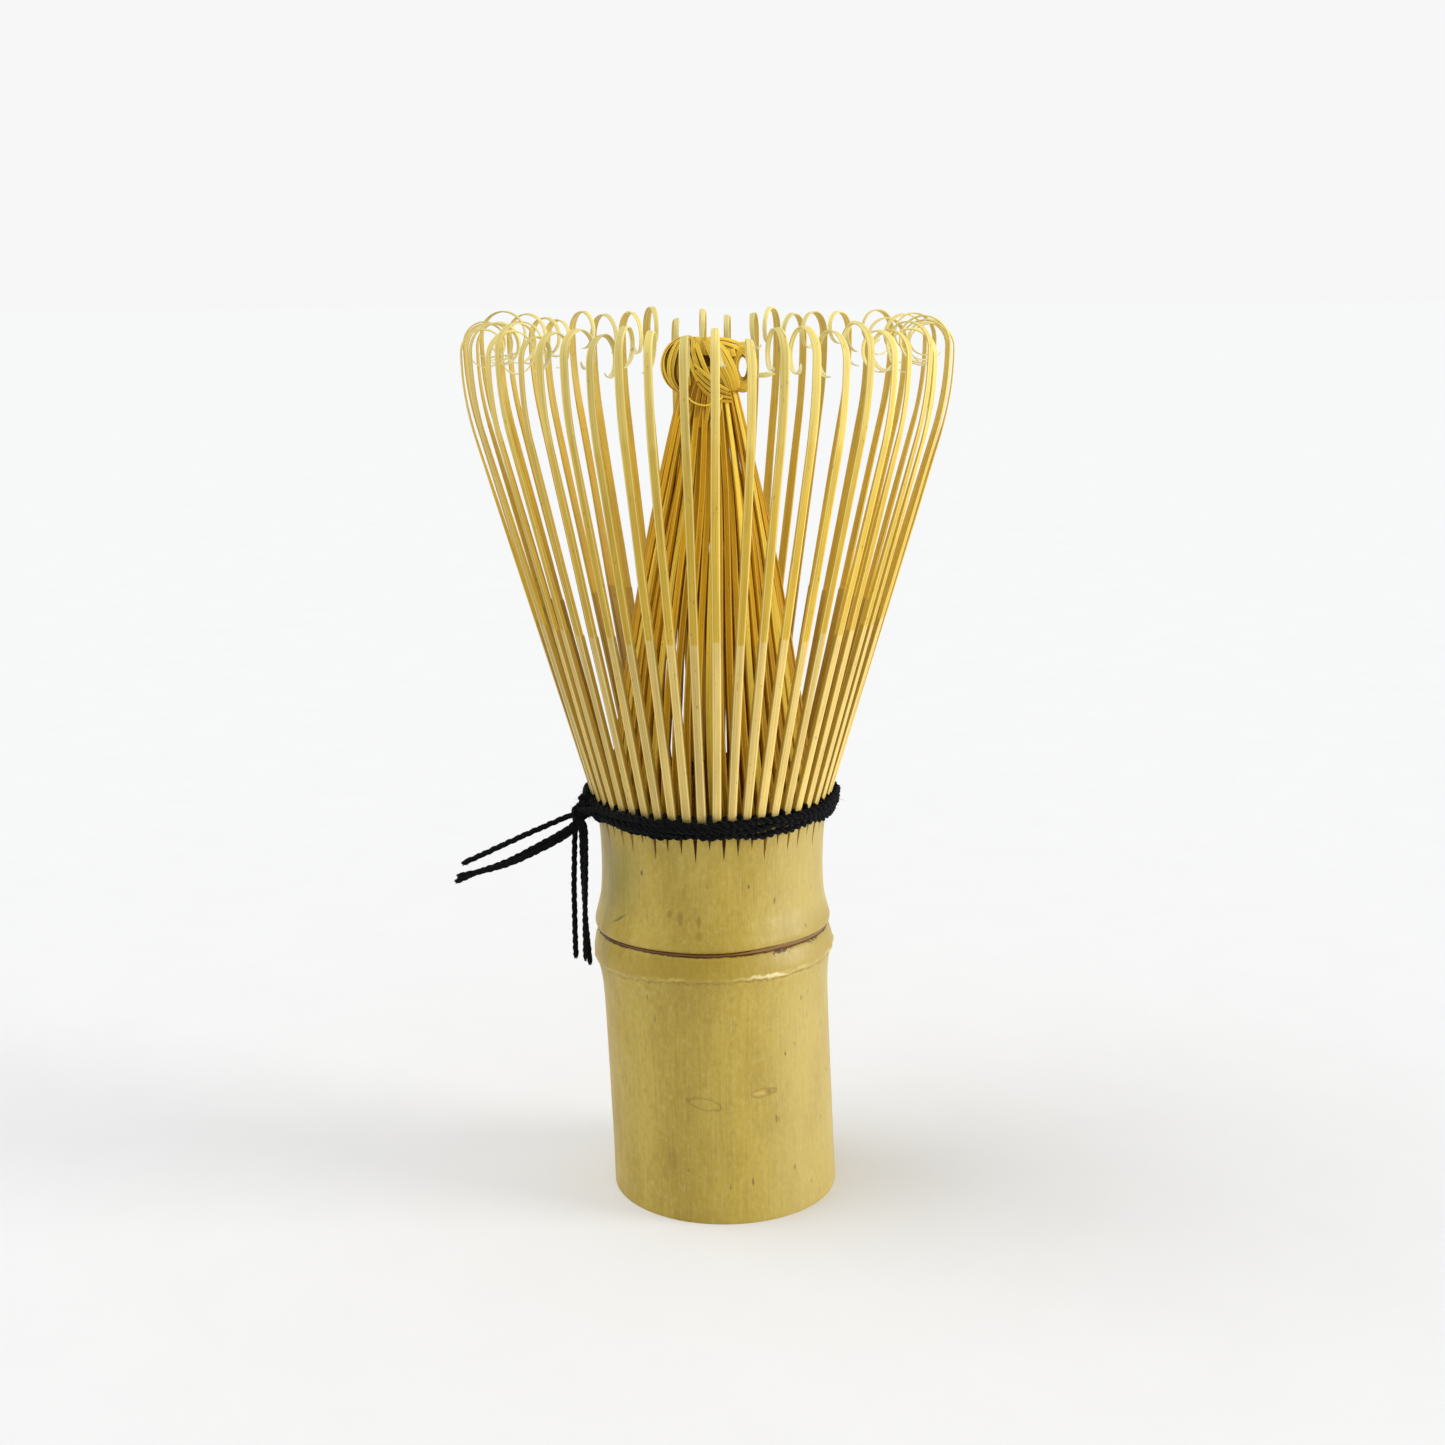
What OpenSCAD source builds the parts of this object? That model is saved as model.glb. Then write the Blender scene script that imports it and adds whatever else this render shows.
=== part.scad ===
// Bamboo tea whisk (chasen), standing on its handle.
// One culm of bamboo is split above its node into outer and inner tines. The outer tines flare and
// curl inwards, the inner ones lean together into a knot, and a black thread laced round the roots
// holds the two rings apart. +Z is up, the origin is on the head's axis at table height.

/* [Handle] */
// Radius of the culm below its node
culm_r = 14.2; // [13.8:0.05:14.4]
// Radius of the neck between the node and the lacing
neck_r = 13.85; // [13.6:0.05:14.1]
// Thickness of the bamboo wall
wall = 2.6; // [2.3:0.1:3.2]
// Height of the groove in the node
node_z = 34.6; // [30:0.1:36]
// Angle in degrees by which the culm bends at its node
node_bend = 2.3; // [0:0.1:2.6]
// Lowest point of an average slit between two tines
slit_bottom_z = 47.8; // [47:0.1:48.4]

/* [Outer tines] */
// Width of a tine
tine_w = 1.1; // [0.8:0.05:1.15]
// Thickness of a tine at its root
root_t = 0.75; // [0.5:0.05:0.8]
// Thickness of a tine at its tip
tip_t = 0.16; // [0.12:0.01:0.25]
// Flare of the straight part, in degrees from vertical
flare = 16; // [12:0.1:17]
// Length of the straight part
straight_len = 48.3; // [35:0.1:49]
// Radius of the gentle bend that brings a tine upright
bend_r = 35; // [25:1:40]
// Radius at the start of the curl
curl_r = 3; // [2.5:0.1:3.6]
// Turn of the curl in degrees
curl_turn = 300; // [180:5:310]
// How much the tines differ from each other, 0 for none
unevenness = 1; // [0:0.1:1]

/* [Inner tines] */
// Radius of the cone of inner tines where they enter the knot
knot_neck_r = 3.7; // [3.5:0.1:4.5]
// Height of the underside of the knot
knot_z = 100.4; // [95:0.1:101]
// Half the width of the knot
knot_r = 5.55; // [5:0.05:6]
// Height of the knot
knot_h = 7.4; // [5:0.1:7.6]

/* [Thread] */
// Radius of the thread band, outside
band_r = 15.5; // [15.4:0.05:15.8]
// Thickness of a thin tail
tail_d = 0.5; // [0.4:0.05:0.8]
// Thickness of the doubled tails
pair_d = 0.8; // [0.6:0.05:1]

/* [Hidden] */
$fn = 96;
count = 52;                     // outer tines, and as many inner ones
pitch = 360 / count;
pivot_z = 51.2;                 // height at which the thread grips the tines
pivot_r = 14.36;                // radius of a tine's middle at that height
tine_foot = 0.75;               // how far a tine reaches below the pivot
stub_top_z = 50.3;              // top of the roots that stay on the handle
ledge_z = 47.6;                 // shelf inside the roots, which carries the inner tines
inner_root_r = 13.2;            // outer face of the inner tines at the ledge
cavity_r = culm_r - wall;
septum_low = node_z - 2.2;
septum_high = node_z + 0.9;
band_low = 49.9;
band_high = 52.5;
step_share = 0.52;              // where along the straight part a tine is cut thinner
step_t = 0.6;                   // thickness just below that cut
thin_t = 0.48;                  // thickness just above it
bend_t = 0.34;                  // thickness at the start of the bend
curl_steps = 19;
curl_tighten = 0.6;             // below 1 the curl tightens early
knot_side = [-15.4, -5.8, 51];  // middle of the knot in the thread

// Routes of the four tails, from the thread knot to their loose ends
tail_upper = [[-16.4, -6.4, 50.8], [-18.6, -6.8, 50], [-21, -7, 48.9], [-23.5, -7.1, 47.8],
              [-26, -7, 46.7], [-28.3, -6.8, 45.5], [-30.4, -6.6, 44.4]];
tail_pair = [[-16.3, -6.9, 49.6], [-17.9, -7.2, 48.4], [-20.1, -7.4, 47.1], [-22.7, -7.5, 45.8],
             [-25.5, -7.4, 44.6], [-28.5, -7.2, 43.5], [-31.5, -7, 42.6]];
tail_down = [[-16.6, -5, 49.6], [-16.8, -5.2, 47], [-16.9, -5.4, 44], [-17, -5.5, 41],
             [-17, -5.6, 38], [-17, -5.6, 35], [-16.95, -5.6, 32.1]];
tail_down_pair = [[-15.6, -7.2, 49.2], [-15.5, -7.5, 46.5], [-15.5, -7.7, 43.5], [-15.5, -7.8, 40.5],
                  [-15.5, -7.8, 37.5], [-15.4, -7.7, 34.5], [-15.35, -7.6, 31.8]];

function tine_name(i) = str("outer_tine_", i < 10 ? "0" : "", i);

bamboo = [0.78, 0.68, 0.36];
pale_bamboo = [0.86, 0.74, 0.43];
amber_bamboo = [0.76, 0.58, 0.22];
black_thread = [0.04, 0.04, 0.045];

// A repeatable number from -1 to 1 that differs from tine to tine and from use to use
function uneven(i, use) = unevenness * sin(i * (97.3 + 41.7 * use) + 59 * use);

function azimuth(i) = (i - 0.5) * pitch;
function along(angle) = [sin(angle), cos(angle)];        // in the plane of radius and height
function across(angle) = [cos(angle), -sin(angle)];

// ---- handle ----

// Shapes turned about the culm's axis and then tipped at the node
module tipped(angle) {
    translate([0, 0, node_z]) rotate([0, -angle, 0]) translate([0, 0, -node_z]) children();
}

module culm_below() {
    tipped(node_bend)
        rotate_extrude()
            polygon([[0, -2], [culm_r + 0.08, -2], [culm_r, 6], [culm_r, node_z - 4],
                     [0, node_z - 4]]);
}

// The swollen ring below the groove, tipped by half the bend
module node_ring() {
    crest = culm_r + 0.9;
    tipped(node_bend / 2)
        rotate_extrude()
            polygon([[0, node_z - 6.8], [culm_r - 0.5, node_z - 7.4], [culm_r + 0.24, node_z - 6.5],
                     [culm_r + 0.3, node_z - 5.6], [culm_r + 0.45, node_z - 4.7],
                     [culm_r + 0.72, node_z - 3.8], [crest - 0.04, node_z - 3.3],
                     [crest, node_z - 2.9], [crest - 0.06, node_z - 2], [crest - 0.22, node_z - 1.1],
                     [crest - 0.46, node_z - 0.45], [0, node_z - 0.45]]);
}

// The groove, the smaller ring above it, the neck and the roots of the outer tines
module culm_above() {
    groove = culm_r + 0.2;
    rotate_extrude()
        polygon([[0, node_z - 2], [groove, node_z - 2], [groove, node_z + 0.15],
                 [culm_r + 0.5, node_z + 0.6], [culm_r + 0.6, node_z + 1.2],
                 [culm_r + 0.42, node_z + 2], [culm_r + 0.1, node_z + 3.2],
                 [neck_r + 0.12, node_z + 4.4], [neck_r + 0.03, node_z + 6], [neck_r, 43],
                 [neck_r + 0.08, 46], [neck_r + 0.24, 48], [pivot_r + 0.12, stub_top_z],
                 [pivot_r - 0.66, stub_top_z], [inner_root_r + 0.15, ledge_z], [0, ledge_z]]);
}

module hollow_below() {
    tipped(node_bend)
        rotate_extrude()
            polygon([[0, -4], [cavity_r, -4], [cavity_r, septum_low - 2],
                     [cavity_r - 0.6, septum_low - 0.6], [cavity_r - 2, septum_low], [0, septum_low]]);
}

module hollow_above() {
    rotate_extrude()
        polygon([[0, septum_high], [cavity_r - 2, septum_high], [cavity_r - 0.6, septum_high + 0.6],
                 [cavity_r, septum_high + 2], [cavity_r, ledge_z + 5], [0, ledge_z + 5]]);
}

// One V between two roots, pointed at the bottom
module slit(i) {
    low = slit_bottom_z + 0.9 * uneven(i, 1) - 0.5;
    half_gap = PI * pivot_r / count - tine_w / 2;
    rotate([0, 0, i * pitch]) translate([inner_root_r + 2.6, 0, 0]) rotate([90, 0, -90])
        linear_extrude(height = 2.5)
            polygon([[0, low], [half_gap, stub_top_z + 0.1], [half_gap, stub_top_z + 1],
                     [-half_gap, stub_top_z + 1], [-half_gap, stub_top_z + 0.1]]);
}

module handle() {
    color(bamboo)
        difference() {
            union() {
                culm_below();
                node_ring();
                culm_above();
            }
            hollow_below();
            hollow_above();
            for (i = [1:count]) slit(i);
            translate([-30, -30, -10]) cube([60, 60, 10]);
        }
}

// ---- outer tines ----

// Length of step k of a curl that tightens from start_r to end_r, turning by twice half
function curl_step(start_r, end_r, half, k) =
    2 * (start_r + (end_r - start_r) * pow(k / curl_steps, curl_tighten)) * sin(half);

// Middle line of tine i from its foot to its tip, as [radius, height, heading, thickness]
function tine_line(i) =
    let (lean = flare + 0.45 * uneven(i, 2),
         reach = straight_len + 0.6 * uneven(i, 3),
         foot = [pivot_r, pivot_z] - tine_foot * along(lean),
         cut = foot + step_share * reach * along(lean),
         top = foot + reach * along(lean),
         centre = top - bend_r * across(lean),
         bend = [for (k = [1:4]) let (a = lean * (1 - k / 4))
                 concat(centre + bend_r * across(a), [a, bend_t - 0.02 * k])],
         last = bend[3],
         turn = curl_turn * (1 + 0.12 * uneven(i, 4)),
         start_r = curl_r * (1 + 0.1 * uneven(i, 5)),
         end_r = start_r * (0.57 + 0.07 * uneven(i, 6)),
         half = turn / curl_steps / 2,
         curl = [for (k = 1, p = [last[0], last[1]], a = 0; k <= curl_steps;
                      a = a - 2 * half,
                      p = p + curl_step(start_r, end_r, half, k) * along(a + half),
                      k = k + 1)
                 concat(p + curl_step(start_r, end_r, half, k) * along(a - half),
                        [a - 2 * half, bend_t - 0.08 + (tip_t - bend_t + 0.08) * k / curl_steps])])
    concat([concat(foot, [lean, root_t]),
            concat(cut, [lean, step_t]),
            concat(cut + 0.3 * along(lean), [lean, thin_t]),
            concat(top, [lean, bend_t])],
           bend, curl);

// The skin side of a tine stays true, and it is thinned from inside up to the bend
function face(line, side) =
    [for (p = line)
        let (keep = p[1] < line[3][1] + 0.01 && p[2] > 0 ? (root_t - p[3]) / 2 : (root_t - bend_t) / 2)
        [p[0], p[1]] + (keep + side * p[3] / 2) * across(p[2])];

module outer_tine(i) {
    line = tine_line(i);
    back = face(line, -1);
    last = len(back) - 1;
    sideways = 0.45 * uneven(i, 7);
    color(pale_bamboo)
        rotate([0, 0, azimuth(i)])
            translate([0, 0, pivot_z]) rotate([sideways, 0, 0]) translate([0, 0, -pivot_z])
                rotate([90, 0, 0])
                    linear_extrude(height = tine_w, center = true)
                        polygon(concat(face(line, 1), [for (k = [last:-1:0]) back[k]]));
}

// ---- inner tines ----

inner_rings = 12;
inner_root_t = 0.75;
inner_tip_t = 0.28;

// Outer face of the bell of inner tines, from the ledge (0) to the knot (1)
function bell_r(s) = inner_root_r - (inner_root_r - knot_neck_r) * (0.58 * s + 0.42 * s * s);

// Section of inner tine i at share s of its height, every other tine tucked behind its neighbours
function inner_section(i, s) =
    let (a = azimuth(i),
         out = [cos(a), sin(a), 0],
         side = [-sin(a), cos(a), 0],
         r = bell_r(s) - (i % 2) * 0.62 * max(0, (s - 0.4) / 0.6),
         t = inner_root_t + (inner_tip_t - inner_root_t) * s,
         w = (1 - 0.42 * s) / 2,
         up = [0, 0, ledge_z + (knot_z - ledge_z) * s])
    [out * r - side * w + up, out * r + side * w + up,
     out * (r - t) + side * w + up, out * (r - t) - side * w + up];

// Side faces and end caps of a sweep with the given number of rings and sides
function sweep_faces(rings, sides) =
    concat([[for (k = [0:sides - 1]) k]],
           [[for (k = [sides - 1:-1:0]) (rings - 1) * sides + k]],
           [for (j = [0:rings - 2], k = [0:sides - 1])
               let (a = j * sides + k, b = j * sides + (k + 1) % sides)
               [a, a + sides, b]],
           [for (j = [0:rings - 2], k = [0:sides - 1])
               let (a = j * sides + k, b = j * sides + (k + 1) % sides)
               [b, a + sides, b + sides]]);

module inner_tines() {
    color(amber_bamboo)
        for (i = [1:count])
            polyhedron([for (j = [0:inner_rings - 1]) each inner_section(i, j / (inner_rings - 1))],
                       sweep_faces(inner_rings, 4));
}

// The tips of the inner tines, wound into a bun
module inner_knot() {
    tube = (knot_r - 0.7) / 2;
    color(amber_bamboo)
        rotate_extrude()
            intersection() {
                translate([knot_r - tube, knot_z + knot_h / 2])
                    polygon([for (k = [0:23]) [tube * cos(15 * k), (knot_h / 2 + 0.15) * sin(15 * k)]]);
                translate([0, knot_z]) square([20, 20]);
            }
}

// ---- thread ----

// A gap in the band through which one tine passes, with room for it to flex
module tine_slot(i) {
    rotate([0, 0, azimuth(i)]) translate([pivot_r, 0, pivot_z]) rotate([0, flare, 0])
        cube([root_t + 0.42, tine_w + 0.24, 9], center = true);
}

module lacing() {
    strands = 3;
    strand_h = (band_high - band_low) / strands;
    bulge = 0.28;
    inner_edge = inner_root_r + 0.04;
    color(black_thread)
        difference() {
            union() {
                rotate_extrude()
                    polygon(concat([[inner_edge, band_low + 0.1]],
                                   [for (s = [0:strands - 1], k = [0:4])
                                       [band_r - bulge + bulge * sin(36 * k + 18),
                                        band_low + strand_h * (s + 0.1 + 0.2 * k)]],
                                   [[inner_edge, band_high - 0.1]]));
                translate(knot_side) sphere(r = 1.3);
                translate(knot_side + [-0.15, 1.1, 1.1]) sphere(r = 0.7);
            }
            for (i = [1:count]) tine_slot(i);
        }
}

// Eight points round a cord at point k of its route
function cord_ring(route, k, d) =
    let (last = len(route) - 1,
         ahead = route[min(k + 1, last)] - route[max(k - 1, 0)],
         t = ahead / norm(ahead),
         u0 = cross(t, [0.3, 1, 0.1]),
         u = u0 / norm(u0),
         v = cross(t, u))
    [for (a = [0:45:315]) route[k] + d / 2 * (u * cos(a) + v * sin(a))];

module cord(route, d) {
    color(black_thread)
        polyhedron([for (k = [0:len(route) - 1]) each cord_ring(route, k, d)],
                   sweep_faces(len(route), 8));
}

handle();
for (i = [1:count]) outer_tine(i);
inner_tines();
inner_knot();
lacing();
cord(tail_upper, tail_d);
cord(tail_pair, pair_d);
cord(tail_down, tail_d);
cord(tail_down_pair, pair_d);
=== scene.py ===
"""Bamboo tea whisk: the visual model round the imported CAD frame.

Lengths are in millimetres until a mesh is made, and the viewer of the photo stands towards -Y."""

import math
import random

import bmesh
import bpy
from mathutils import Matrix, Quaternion, Vector, noise


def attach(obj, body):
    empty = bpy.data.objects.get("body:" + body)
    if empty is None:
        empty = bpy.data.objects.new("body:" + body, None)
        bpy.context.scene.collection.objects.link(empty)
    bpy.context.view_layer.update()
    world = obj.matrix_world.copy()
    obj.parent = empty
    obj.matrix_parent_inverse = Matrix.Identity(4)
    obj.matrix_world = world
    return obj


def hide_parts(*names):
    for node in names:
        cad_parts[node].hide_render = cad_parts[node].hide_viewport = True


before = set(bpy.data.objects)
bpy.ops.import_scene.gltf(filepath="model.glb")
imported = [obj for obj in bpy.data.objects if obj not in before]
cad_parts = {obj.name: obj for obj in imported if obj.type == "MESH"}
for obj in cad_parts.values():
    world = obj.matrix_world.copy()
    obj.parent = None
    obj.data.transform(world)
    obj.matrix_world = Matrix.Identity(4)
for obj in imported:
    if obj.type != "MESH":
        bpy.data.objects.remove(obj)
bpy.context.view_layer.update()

MM = 0.001
UP = Vector((0, 0, 1))
sin, cos, radians, PI, TAU = math.sin, math.cos, math.radians, math.pi, math.tau


def srgb(r, g, b, gain=1.0):
    """A linear colour from 8-bit sRGB numbers, made lighter or darker by gain."""
    channels = [c / 255 / 12.92 if c < 10.3 else ((c / 255 + 0.055) / 1.055) ** 2.4 for c in (r, g, b)]
    return (*[min(1.0, c * gain) for c in channels], 1.0)


def blend(a, b, share):
    share = min(1.0, max(0.0, share))
    return tuple(x + (y - x) * share for x, y in zip(a, b))


def ease(x, low, high):
    """0 below low, 1 above high, smooth between."""
    t = min(1.0, max(0.0, (x - low) / (high - low)))
    return t * t * (3 - 2 * t)


def level(angle, r=1.0, z=0.0):
    """The point at radius r, an angle in radians and height z."""
    return Vector((r * cos(angle), r * sin(angle), z))


def show(name, data):
    """A new object in the scene, made of a mesh, camera or light."""
    obj = bpy.data.objects.new(name, data)
    bpy.context.scene.collection.objects.link(obj)
    return obj


# ---- camera ----


def make_camera():
    pitch, yaw, roll = radians(13.293), radians(-0.872), radians(-0.419)
    look = Vector((sin(yaw) * cos(pitch), cos(yaw) * cos(pitch), -sin(pitch)))
    camera = show("camera", bpy.data.cameras.new("camera"))
    camera.data.lens, camera.data.sensor_width = 52.46, 36
    camera.data.clip_start, camera.data.clip_end = 0.01, 50
    camera.location = Vector((5.28, -253.83, 120.52)) * MM
    camera.rotation_mode = "QUATERNION"
    camera.rotation_quaternion = look.to_track_quat("-Z", "Y") @ Quaternion((0, 0, 1), roll)
    bpy.context.scene.camera = camera


make_camera()


# ---- materials ----


class Graph:
    """A Principled material whose nodes are added by short calls."""

    def __init__(self, name, **inputs):
        self.material = bpy.data.materials.new(name)
        self.material.use_nodes = True
        self.tree = self.material.node_tree
        self.shader = self.tree.nodes["Principled BSDF"]
        for key, value in inputs.items():
            self.shader.inputs[key.replace("_", " ")].default_value = value

    def add(self, kind, feeds=(), out=0, **settings):
        node = self.tree.nodes.new("ShaderNode" + kind)
        for key, value in settings.items():
            setattr(node, key, value)
        for socket, value in feeds:
            self.feed(node.inputs[socket], value)
        return node.outputs[out]

    def feed(self, socket, value):
        if isinstance(value, bpy.types.NodeSocket):
            self.tree.links.new(value, socket)
        else:
            socket.default_value = value

    def set(self, name, value):
        self.feed(self.shader.inputs[name], value)

    def math(self, operation, a, b=0.0):
        return self.add("Math", [(0, a), (1, b)], operation=operation)

    def plus(self, a, b):
        return self.math("ADD", a, b)

    def minus(self, a, b):
        return self.math("SUBTRACT", a, b)

    def times(self, a, b):
        return self.math("MULTIPLY", a, b)

    def mix(self, share, a, b, kind="MIX"):
        return self.add("Mix", [(0, share), (6, a), (7, b)], 2, data_type="RGBA", blend_type=kind)

    def span(self, value, low, high, to_low=0.0, to_high=1.0):
        """to_low at low, to_high at high, smooth between and level beyond."""
        return self.add("MapRange", enumerate((value, low, high, to_low, to_high)),
                        interpolation_type="SMOOTHSTEP")

    def scaled(self, vector, scale):
        return self.add("VectorMath", [(0, vector), (1, scale)], operation="MULTIPLY")

    def noise(self, vector, scale=1.0, detail=3.0, rough=0.55, warp=0.0):
        return self.add("TexNoise", [("Vector", vector), ("Scale", scale), ("Detail", detail),
                                     ("Roughness", rough), ("Distortion", warp)])

    def upright(self, at, across, along, detail, rough=0.55):
        """Noise with one scale across the whisk and another along it."""
        return self.noise(self.scaled(at, (across, across, along)), detail=detail, rough=rough)

    def attribute(self, name, out=2):
        """A mesh attribute: output 0 for a colour, 1 for a vector, 2 for a number."""
        return self.add("Attribute", out=out, attribute_name=name)

    def object_mm(self):
        """The point in the piece's own frame, in millimetres."""
        return self.scaled(self.add("TexCoord", out=3), (1000, 1000, 1000))

    def bump(self, height, distance):
        """Feeds the normal: distance in metres for a height of 1."""
        self.set("Normal", self.add("Bump", [("Strength", 1.0), ("Distance", distance), ("Height", height)]))


def strip_material(name, fibre_depth, gloss, rim_tint):
    """Split bamboo: fibres along the strip, a painted highlight along the edges of its face, small flecks. It
    uses tone, grain and rim.
    """
    g = Graph(name, Specular_IOR_Level=gloss)
    grain = g.attribute("grain", 1)
    coarse = g.noise(g.scaled(grain, (5.0, 0.07, 1)), detail=4)
    fine = g.noise(g.scaled(grain, (22, 0.35, 1)), detail=2)
    cloud = g.noise(g.scaled(grain, (0.5, 0.09, 1)), detail=2)
    speck = g.span(g.noise(g.scaled(grain, (3.4, 0.9, 1)), detail=1), 0.70, 0.76)
    tone = g.attribute("tone", 0)
    light = g.plus(g.span(coarse, 0.3, 0.7, -fibre_depth, fibre_depth),
                   g.span(fine, 0.3, 0.7, -0.06, 0.06))
    light = g.plus(light, g.span(cloud, 0.3, 0.7, 0.93, 1.07))
    grey = g.add("CombineColor", [(channel, light) for channel in range(3)])
    colour = g.mix(1.0, tone, grey, "MULTIPLY")
    colour = g.mix(g.times(speck, 0.45), colour, srgb(120, 78, 20))
    # painted highlight: the edges of the strip's face are mixed towards a pale tint
    rim = g.span(g.attribute("rim"), 0.6, 1.0, 0.0, 0.62)
    g.set("Base Color", g.mix(rim, colour, rim_tint))
    g.set("Roughness", g.span(coarse, 0.3, 0.7, 0.4, 0.58))
    g.bump(g.plus(g.times(coarse, 0.7), g.times(fine, 0.3)), 0.00004)
    return g.material


def skin_material():
    """The culm's outside: waxy, with upright fibres, flecks, scars, the brown groove and the yellow ring."""
    g = Graph("culm_skin", Coat_Weight=0.08, Coat_Roughness=0.4, Specular_IOR_Level=0.5)
    at = g.object_mm()
    x = g.add("SeparateXYZ", [(0, at)])
    y, z = x.node.outputs[1], x.node.outputs[2]
    front = g.span(y, -4.0, -6.0)
    fibres = g.upright(at, 2.4, 0.05, 5, 0.6)
    hair = g.upright(at, 9, 0.16, 2)
    mottle = g.upright(at, 0.16, 0.07, 3, 0.5)
    patches = g.upright(at, 0.5, 0.28, 3, 0.6)
    grit = g.upright(at, 1.9, 1.1, 4, 0.7)
    paint = [  # masks and their colours, each over the ones before
        (g.span(patches, 0.5, 0.78, 0.0, 0.5), (160, 136, 44)),
        (g.span(fibres, 0.42, 0.75, 0.0, 0.32), (150, 124, 44)),
        (g.span(hair, 0.45, 0.75, 0.0, 0.2), (214, 194, 122)),
        (g.span(grit, 0.5, 0.72, 0.0, 0.3), (208, 188, 118)),
        (g.span(grit, 0.5, 0.3, 0.0, 0.26), (142, 116, 36)),
        # painted sheen: paler and whiter towards +X, the side that faces the key light
        (g.span(x, 2.0, 12.0, 0.0, 0.4), (188, 171, 108)),
        (g.attribute("green"), (118, 122, 66)),
        (g.attribute("yellow"), (156, 128, 2)),
    ]

    # short upright flecks and stains, sparse and everywhere
    dots, gate = g.upright(at, 1.5, 0.5, 2, 0.45), g.upright(at, 0.23, 0.19, 1)
    fleck = g.times(g.span(dots, 0.70, 0.75), g.span(gate, 0.45, 0.62, 0.05, 0.6))
    stain = g.span(g.upright(at, 0.9, 0.22, 3), 0.655, 0.72, 0.0, 0.22)
    paint += [(stain, (132, 104, 20)), (fleck, (108, 78, 14))]

    # soft oval marks on the front: x, z, half width, half height, lean, softness, strength, colour
    marks = [
        (-0.85, 15.9, 2.05, 0.72, -0.22, 0.24, 0.38, (120, 92, 20)),
        (6.2, 17.0, 1.5, 0.5, 0.05, 0.3, 0.45, (128, 92, 24)),
        (6.9, 17.05, 0.38, 0.3, 0, 0.4, 0.5, (120, 74, 20)),
        (5.7, 17.0, 0.9, 0.25, 0, 0.5, 0.4, (214, 188, 104)),
        (-4.9, 8.1, 0.5, 1.5, 0.06, 0.5, 0.4, (128, 104, 18)),
        (-5.9, 6.1, 0.35, 0.7, 0, 0.6, 0.22, (128, 104, 18)),
        (-4.9, 40.0, 0.28, 0.4, 0, 0.5, 0.55, (140, 112, 0)),
        (-3.6, 39.6, 0.3, 0.85, 0, 0.4, 0.6, (136, 106, 0)),
        (-1.4, 39.4, 0.28, 0.6, 0, 0.5, 0.55, (138, 108, 0)),
        (-1.4, 37.6, 0.4, 0.5, 0, 0.6, 0.5, (140, 110, 0)),
        (-11.3, 38.0, 0.12, 1.1, -0.85, 0.5, 0.6, (84, 80, 40)),
        (-8.3, 44.6, 0.14, 0.32, 0, 0.4, 0.8, (92, 62, 16)),
        (4.6, 43.4, 0.13, 0.28, 0, 0.4, 0.8, (96, 62, 18)),
        (7.7, 41.2, 0.15, 0.42, 0, 0.4, 0.6, (110, 76, 18)),
        (11.0, 28.0, 0.15, 0.32, 0, 0.4, 0.45, (120, 88, 24)),
        (-6.9, 26.4, 0.13, 0.5, 0, 0.5, 0.45, (116, 88, 20)),
        (9.0, 21.4, 0.1, 0.22, 0, 0.4, 0.75, (100, 66, 18)),
        (5.0, 5.4, 0.12, 0.52, 0, 0.4, 0.7, (104, 72, 18)),
        (-3.0, 7.0, 0.14, 0.22, 0, 0.5, 0.5, (108, 80, 20)),
        (10.2, 6.2, 0.11, 0.38, 0, 0.4, 0.55, (112, 80, 22)),
    ]
    for k, (cx, cz, rx, rz, lean, edge, strength, tint) in enumerate(marks):
        dx, dz = g.minus(x, cx), g.minus(z, cz)
        u = g.plus(g.times(dx, cos(lean) / rx), g.times(dz, sin(lean) / rx))
        v = g.minus(g.times(dz, cos(lean) / rz), g.times(dx, sin(lean) / rz))
        away = g.math("SQRT", g.plus(g.times(u, u), g.times(v, v)))
        away = g.plus(away, g.span(patches, 0.3, 0.7, -0.16, 0.16))
        if k < 2:  # two marks are outlines
            mark = g.span(g.math("ABSOLUTE", g.minus(away, 1.0)), edge, 0.0)
        else:
            mark = g.span(away, 1.0 + edge, 1.0 - edge)
        paint.append((g.times(g.times(mark, front), strength), tint))

    # the crease under the ring: a broken pale ridge of painted highlight with a darker line of painted shade
    # beneath it
    ragged, wavy = g.upright(at, 1.3, 0.9, 4, 0.65), g.upright(at, 0.7, 0.5, 3)
    above_crease = g.plus(g.attribute("above_crease"), g.span(wavy, 0.3, 0.7, -0.22, 0.22))
    shadow = g.span(g.math("ABSOLUTE", g.plus(above_crease, 0.18)), 0.26, 0.06)
    ridge_highlight = g.span(g.math("ABSOLUTE", g.minus(above_crease, 0.28)), 0.36, 0.08)
    # bright: the stretch towards +X where the painted highlight on the ridge is strongest
    bright = g.times(g.span(x, 3.5, 6.5), g.span(x, 9.8, 8.6))
    broken = g.plus(g.span(patches, 0.42, 0.58, 0.06, 0.34), g.times(bright, 0.4))
    paint += [
        (g.times(shadow, g.span(ragged, 0.35, 0.6, 0.6, 0.15)), (132, 100, 4)),
        (g.times(ridge_highlight, broken), (220, 200, 122)),
        (g.times(ridge_highlight, g.times(bright, 0.5)), (246, 234, 186)),
    ]

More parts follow.
